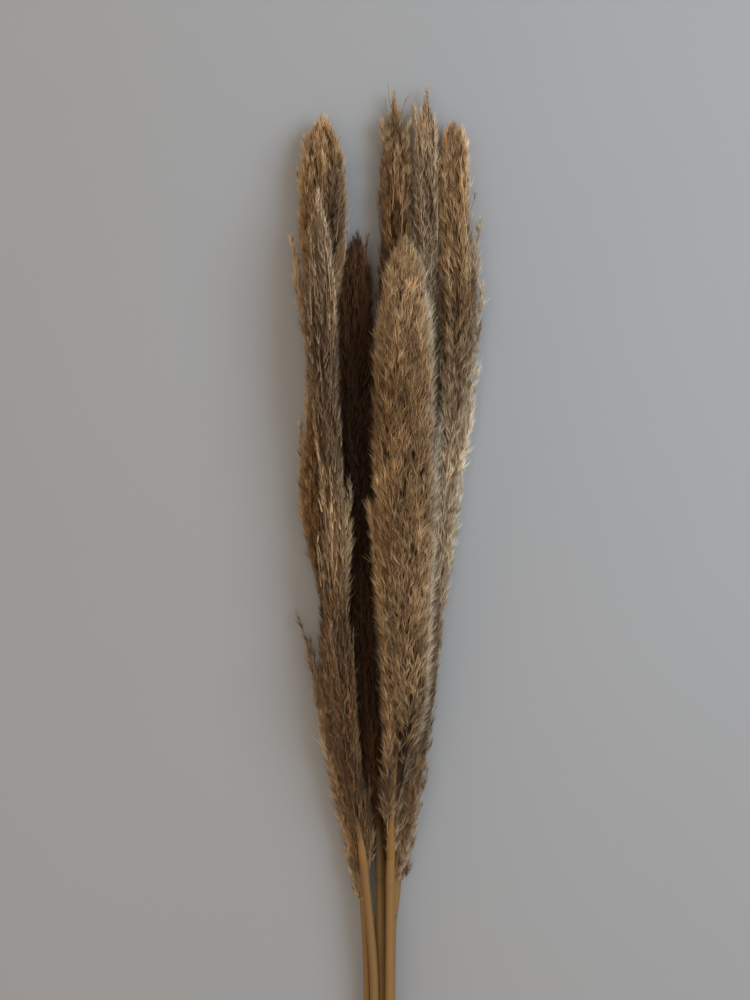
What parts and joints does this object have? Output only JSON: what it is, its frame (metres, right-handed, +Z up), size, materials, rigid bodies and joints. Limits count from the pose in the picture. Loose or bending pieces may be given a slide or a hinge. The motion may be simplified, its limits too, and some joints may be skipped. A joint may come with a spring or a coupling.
{
  "type": "bundle of pampas grass",
  "caption": "Loose bundle of cut and dried pampas grass lying down: long feathery plumes on straw canes that gather at the cut ends.",
  "frame": {"origin": "on the floor under the middle of the bundle's box", "axes": "+Z up from the floor the bundle lies on, +Y along the bundle from the cut ends to the plume tips, +X to the right seen from above"},
  "size_m": [0.1629, 1.081, 0.0792],
  "materials": {
    "cane_straw": "dry straw with a faint sheen",
    "cane_olive": "dry straw with an olive cast",
    "plume_brown": "matt dried fibre",
    "plume_pale": "matt dried fibre",
    "plume_dark": "matt dried fibre",
    "plume_tan": "matt dried fibre",
    "plume_grey": "matt dried fibre",
    "plume_golden": "matt dried fibre"
  },
  "bodies": {
    "root": {"cane_left_back": "cane_straw", "plume_left_back": "plume_brown", "cane_left_front": "cane_straw", "plume_left_front": "plume_pale", "cane_middle_back": "cane_olive", "plume_middle_back": "plume_dark", "cane_right_back_near": "cane_straw", "plume_right_back_near": "plume_tan", "cane_right_back_middle": "cane_straw", "plume_right_back_middle": "plume_grey", "cane_front": "cane_straw", "plume_front": "plume_golden", "cane_right_back": "cane_straw", "plume_right_back": "plume_tan"}
  },
  "joints": []
}
